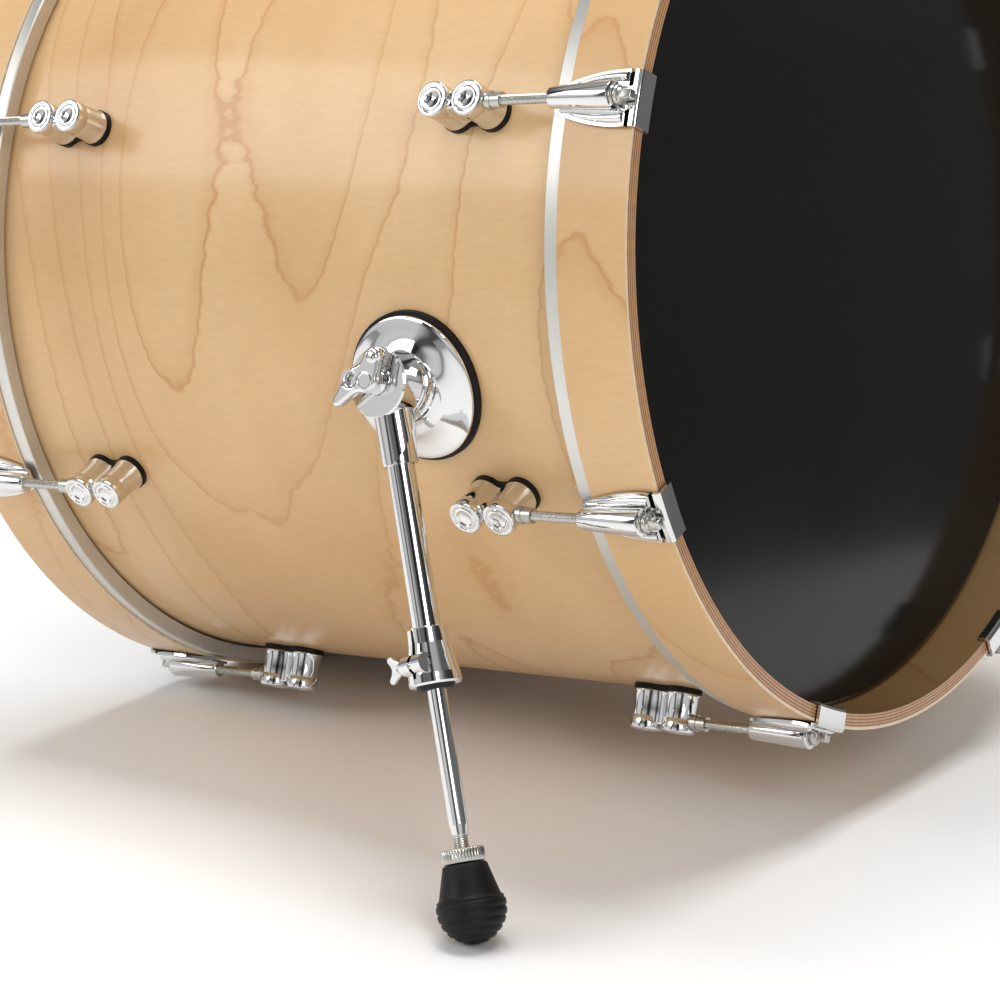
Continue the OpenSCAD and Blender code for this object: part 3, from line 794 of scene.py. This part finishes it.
def lock_nut(side, leg):
    """Knurled nut above the foot."""
    nut = lathe([(NUT_AT, 4.6), (NUT_AT, 10.6), (NUT_AT + 0.1, 11.2), (NUT_AT + 0.8, 12.0),
                 (NUT_AT + 7.4, 12.0), (NUT_AT + 8.1, 11.2), (NUT_AT + 8.2, 10.6),
                 (NUT_AT + 8.2, 4.6)], NUT_TEETH * 6, nut_wave)
    build(f"{side}_knurled_nut", [(*nut, leg)], f"{side}_nut", ZINC, f"{side}_spur_lock_nut",
          sharp=50)


def rubber_foot(side, leg):
    """Ribbed foot on the stud."""
    build(f"{side}_foot_rubber", [(*lathe(foot_profile(FOOT_AT), 96), leg)], f"{side}_foot",
          RUBBER, f"{side}_spur_rubber_foot", sharp=50)


def spur(side):
    leg = leg_matrix(side)
    wing_screw(side, spur_matrix(side))
    clamp_screw(side, leg)
    inner_rod(side, leg)
    lock_nut(side, leg)
    rubber_foot(side, leg)


for side in SIDES:
    spur_base(side)
    spur(side)


# ---- studio ----

def plain(name, colour, rough):
    s = Shader(name, Roughness=rough)
    s.shader.inputs["Base Color"].default_value = (*colour, 1)
    return s.material


def floor():
    """A wide pale floor."""
    size = 30.0
    mesh = bpy.data.meshes.new("floor")
    mesh.from_pydata([(-size, -size, 0), (size, -size, 0), (size, size, 0), (-size, size, 0)], [],
                     [(0, 1, 2, 3)])
    mesh.materials.append(plain("floor", (0.93, 0.93, 0.93), 0.8))
    obj = bpy.data.objects.new("floor", mesh)
    bpy.context.scene.collection.objects.link(obj)


def softbox(name, place, target, width, height, power, colour=(1, 1, 1)):
    light = bpy.data.lights.new(name, "AREA")
    light.shape = "RECTANGLE"
    light.size, light.size_y = width, height
    light.energy = power
    light.color = colour
    obj = bpy.data.objects.new(name, light)
    obj.location = place
    obj.rotation_euler = (Vector(target) - Vector(place)).to_track_quat("-Z", "Y").to_euler()
    bpy.context.scene.collection.objects.link(obj)


def world():
    """Soft grey surroundings with darker bands, by height and by direction."""
    w = bpy.data.worlds.new("studio")
    bpy.context.scene.world = w
    w.use_nodes = True
    nodes, links = w.node_tree.nodes, w.node_tree.links
    background = nodes["Background"]
    coords = nodes.new("ShaderNodeTexCoord")
    split = nodes.new("ShaderNodeSeparateXYZ")
    links.new(coords.outputs["Generated"], split.inputs[0])
    height = tone(nodes, links, split.outputs[2], (
        (0.0, 0.62), (0.14, 0.74), (0.27, 0.62), (0.38, 0.16), (0.52, 0.16), (0.62, 0.5), (0.8, 0.5),
        (1.0, 0.8)))
    turn = nodes.new("ShaderNodeMath")
    turn.operation = "ARCTAN2"
    links.new(split.outputs[1], turn.inputs[0])
    links.new(split.outputs[0], turn.inputs[1])
    share = nodes.new("ShaderNodeMapRange")
    links.new(turn.outputs[0], share.inputs[0])
    share.inputs[1].default_value = -math.pi
    share.inputs[2].default_value = math.pi
    bands = tone(nodes, links, share.outputs[0], (
        (0.0, 1.0), (0.04, 0.2), (0.075, 1.0), (0.16, 1.0), (0.175, 0.12), (0.19, 0.12), (0.205, 1.0),
        (0.28, 1.0),
        (0.3, 0.08), (0.325, 0.08), (0.35, 1.0), (0.44, 0.9), (0.5, 0.25), (0.65, 0.25), (0.8, 0.8)))
    both = nodes.new("ShaderNodeMix")
    both.data_type = "RGBA"
    both.blend_type = "MULTIPLY"
    both.inputs["Factor"].default_value = 1.0
    links.new(height, both.inputs["A"])
    links.new(bands, both.inputs["B"])
    links.new(both.outputs["Result"], background.inputs[0])
    background.inputs[1].default_value = 1.0


def tone(nodes, links, value, stops):
    """Grey ramp over a value from 0 to 1."""
    ramp = nodes.new("ShaderNodeValToRGB")
    links.new(value, ramp.inputs[0])
    elements = ramp.color_ramp.elements
    while len(elements) < len(stops):
        elements.new(0.5)
    for element, (place, v) in zip(elements, stops):
        element.position = place
        element.color = (v, v, v, 1)
    return ramp.outputs[0]


def card(name, place, target, width, height, grey):
    """A plain card that only reflections see."""
    mesh = bpy.data.meshes.new(name)
    w, h = width / 2, height / 2
    mesh.from_pydata([(-w, -h, 0), (w, -h, 0), (w, h, 0), (-w, h, 0)], [], [(0, 1, 2, 3)])
    mesh.materials.append(plain(name, (grey, grey, grey), 0.9))
    obj = bpy.data.objects.new(name, mesh)
    obj.location = place
    obj.rotation_euler = (Vector(target) - Vector(place)).to_track_quat("-Z", "Y").to_euler()
    obj.visible_camera = False
    obj.visible_shadow = False
    obj.visible_diffuse = False
    bpy.context.scene.collection.objects.link(obj)


floor()
world()
softbox("top", (0.0, 0.35, 3.4), (0, 0, 0.3), 2.4, 1.6, 98)
softbox("left", (-2.4, -2.6, 2.05), (0, -0.2, 0.35), 2.4, 1.5, 42)
softbox("right", (2.9, -2.4, 1.9), (0.1, -0.1, 0.35), 1.2, 1.6, 38)
card("grey_front", (0.85, 0.55, 0.2), (0.2, 0.04, 0.2), 1.9, 0.56, 0.16)

CAMERA_AT = Vector((1.0808, -1.519, 0.597))
CAMERA_AZIMUTH = 36.24
CAMERA_ELEVATION = 13.61
LENS = 101.9
camera = bpy.data.objects.new("camera", bpy.data.cameras.new("camera"))
camera.data.lens = LENS
camera.data.clip_end = 100
camera.location = CAMERA_AT
camera.rotation_euler = (math.radians(90 - CAMERA_ELEVATION), 0, math.radians(CAMERA_AZIMUTH))
bpy.context.scene.collection.objects.link(camera)
bpy.context.scene.camera = camera
bpy.context.scene.view_settings.view_transform = "Standard"
